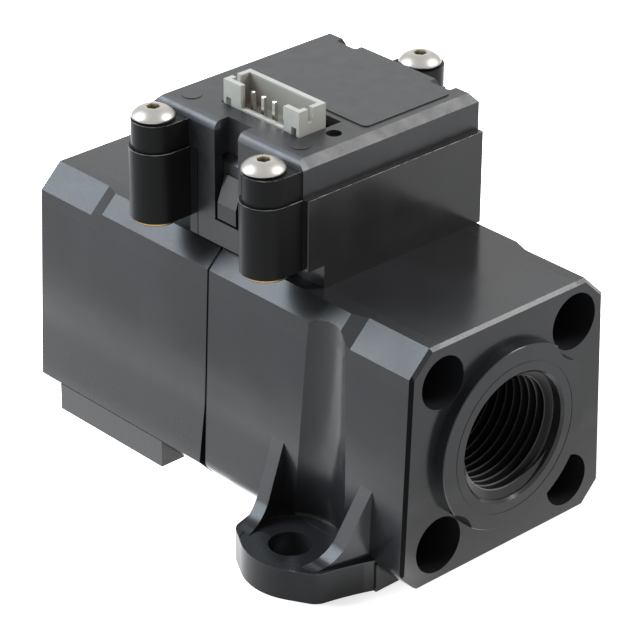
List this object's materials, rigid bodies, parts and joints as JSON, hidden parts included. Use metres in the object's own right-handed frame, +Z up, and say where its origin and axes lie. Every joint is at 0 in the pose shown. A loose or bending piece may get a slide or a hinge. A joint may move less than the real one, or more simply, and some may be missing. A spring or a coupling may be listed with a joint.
{
  "type": "airflow sensor",
  "caption": "In-line air flow sensor with threaded ports through a moulded two-part body, mounting ears and a sensor module with a pin header on top.",
  "frame": {"origin": "on the mounting plane, under the bore axis, midway between the two port faces", "axes": "+X along the bore in the flow direction, out of the outlet port; +Z up from the feet to the connector; the outlet ear points along -Y"},
  "size_m": [0.0736, 0.0566, 0.0553],
  "materials": {
    "body_plastic": "satin",
    "housing_plastic": "semi-gloss",
    "cover_plastic": "satin",
    "header_plastic": "satin",
    "inner_plastic": "matte",
    "rubber_seal": "matte",
    "brass": "satin",
    "stainless": "polished",
    "tie_steel": "dark",
    "screen_steel": "satin",
    "pin_metal": "tinned",
    "board_black": "satin",
    "chip_black": "matte",
    "sensor_silicon": "gloss",
    "capacitor_ceramic": "matte"
  },
  "bodies": {
    "root": {"outlet_body": "body_plastic", "inlet_body": "body_plastic", "body_seal": "rubber_seal", "flow_restrictor": "inner_plastic", "inlet_screen_outer": "screen_steel", "inlet_screen_inner": "screen_steel", "screen_spacer": "inner_plastic", "screen_retainer": "inner_plastic", "tap_seal_upstream": "rubber_seal", "tap_seal_downstream": "rubber_seal", "tie_screws": "tie_steel", "tie_inserts": "brass", "sensor_housing": "housing_plastic", "housing_screws": "tie_steel", "bypass_block": "inner_plastic", "chip_gasket": "rubber_seal", "flow_chip": "sensor_silicon", "circuit_board": "board_black", "amplifier_chip": "chip_black", "board_capacitors": "capacitor_ceramic", "header_housing": "header_plastic", "header_pins": "pin_metal", "top_cover": "cover_plastic", "cover_screws": "stainless", "cover_inserts": "brass"}
  },
  "joints": []
}
